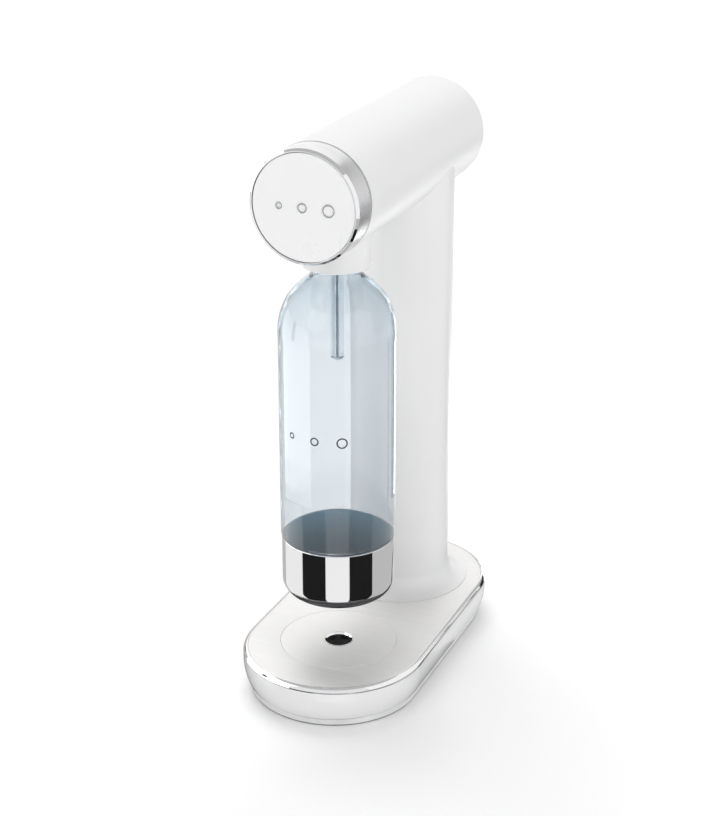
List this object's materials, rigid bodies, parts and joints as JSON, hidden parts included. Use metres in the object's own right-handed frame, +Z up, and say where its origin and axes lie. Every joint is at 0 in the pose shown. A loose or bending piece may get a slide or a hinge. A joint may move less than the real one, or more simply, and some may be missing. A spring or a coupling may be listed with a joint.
{
  "type": "soda carbonator",
  "caption": "Countertop soda carbonator: stadium base, rear column with gas cylinder, horizontal arm with turning front knob, hanging clear bottle.",
  "frame": {"origin": "on the floor, under the centre of the machine's bounding box", "axes": "+Z up; -Y towards the knob at the front; +X to the user's right"},
  "size_m": [0.1382, 0.2664, 0.4246],
  "materials": {
    "white_gloss": "glossy moulded white",
    "foot_grip": "matt light grey",
    "grey_plastic": "fine moulded grain",
    "zinc_screw": "zinc plated",
    "ballast_steel": "raw plate",
    "polished_trim": "mirror polished",
    "brushed_plate": "fine brushing",
    "black_plastic": "moulded",
    "white_satin": "satin white",
    "spring_steel": "drawn wire",
    "frame_steel": "galvanised",
    "cylinder_aluminium": "satin lacquer",
    "valve_brass": "machined",
    "seal_rubber": "moulded seal",
    "cam_plastic": "natural acetal",
    "satin_ring": "satin turned",
    "white_face": "satin white",
    "bearing_bronze": "sintered bush",
    "head_plastic": "moulded",
    "clear_tube": "clear",
    "pipe_steel": "drawn tube",
    "clear_bottle": "clear, cool tint",
    "mirror_cup": "mirror polished"
  },
  "bodies": {
    "stand": {"base_shell": "white_gloss", "foot_ring": "foot_grip", "base_cover": "grey_plastic", "base_screws": "zinc_screw", "ballast_plate": "ballast_steel", "edge_trim": "polished_trim", "top_plate": "brushed_plate", "drip_disc": "brushed_plate", "hole_rim": "polished_trim", "drip_cup": "black_plastic", "cylinder_cradle": "black_plastic", "column_shell": "white_satin", "cover_clips": "spring_steel", "column_frame": "frame_steel", "valve_housing": "valve_brass", "housing_seal": "seal_rubber", "lever_pin": "spring_steel", "lever_bracket": "frame_steel", "return_spring": "spring_steel", "arm_shell": "white_satin", "arm_end_cap": "white_satin", "arm_chassis": "frame_steel", "front_bulkhead": "black_plastic", "shaft_bracket": "frame_steel", "bush_front": "bearing_bronze", "bush_rear": "bearing_bronze", "head_collar": "white_satin", "head_block": "head_plastic", "head_screws": "zinc_screw", "bottle_seal": "seal_rubber", "nozzle_tube": "clear_tube", "relief_valve": "valve_brass", "gas_pipe": "pipe_steel", "pipe_nuts": "valve_brass"},
    "knob": {"knob_shaft": "frame_steel", "knob_hub": "black_plastic", "knob_screw": "zinc_screw", "knob_ring": "satin_ring", "knob_bevel": "polished_trim", "knob_face": "white_face", "face_bubbles": "polished_trim", "cam": "cam_plastic", "cam_pin": "spring_steel"},
    "lever": {"valve_lever": "frame_steel"},
    "plunger": {"plunger": "spring_steel", "plunger_spring": "spring_steel"},
    "valve_pin": {"valve_pin": "spring_steel"},
    "cylinder": {"gas_cylinder": "cylinder_aluminium", "cylinder_valve": "valve_brass"},
    "cover": {"rear_cover": "white_satin"},
    "lock_ring": {"bottle_lock_ring": "head_plastic"},
    "bottle": {"bottle_body": "clear_bottle", "bottle_cup": "mirror_cup"}
  },
  "joints": [
    {"name": "knob_turn", "type": "hinge", "parent": "stand", "child": "knob", "pos_m": [0, 0, 0.3844], "axis": [0, 1, 0], "range_deg": [0, 60], "stiffness_Nm_per_rad": 0.25, "springref_deg": -20.05},
    {"name": "lever_rock", "type": "hinge", "parent": "stand", "child": "lever", "pos_m": [0, 0.038, 0.4002], "axis": [-1, 0, 0], "range_deg": [0, 4.77]},
    {"name": "plunger_press", "type": "slide", "parent": "stand", "child": "plunger", "axis": [0, 0, -1], "range_m": [0, 0.00215], "deforming": ["plunger_spring"]},
    {"name": "valve_pin_press", "type": "slide", "parent": "cylinder", "child": "valve_pin", "axis": [0, 0, -1], "range_m": [0, 0.00215]},
    {"name": "cylinder_unscrew", "type": "hinge", "parent": "stand", "child": "cylinder", "pos_m": [0, 0.0635, 0.2], "axis": [0, 0, -1], "range_deg": [0, 1080]},
    {"name": "cover_pull", "type": "slide", "parent": "stand", "child": "cover", "axis": [0, 1, 0], "range_m": [0, 0.08]},
    {"name": "bottle_twist", "type": "hinge", "parent": "stand", "child": "lock_ring", "pos_m": [0, -0.0577, 0.34], "axis": [0, 0, 1], "range_deg": [0, 60]},
    {"name": "bottle_drop", "type": "slide", "parent": "lock_ring", "child": "bottle", "axis": [0, 0, -1], "range_m": [0, 0.04]}
  ],
  "couplings": [
    {"joint": "lever_rock", "follows": "knob_turn", "ratio": 0.078641},
    {"joint": "plunger_press", "follows": "knob_turn", "m_per_rad": 0.0020054},
    {"joint": "valve_pin_press", "follows": "knob_turn", "m_per_rad": 0.0020054}
  ]
}
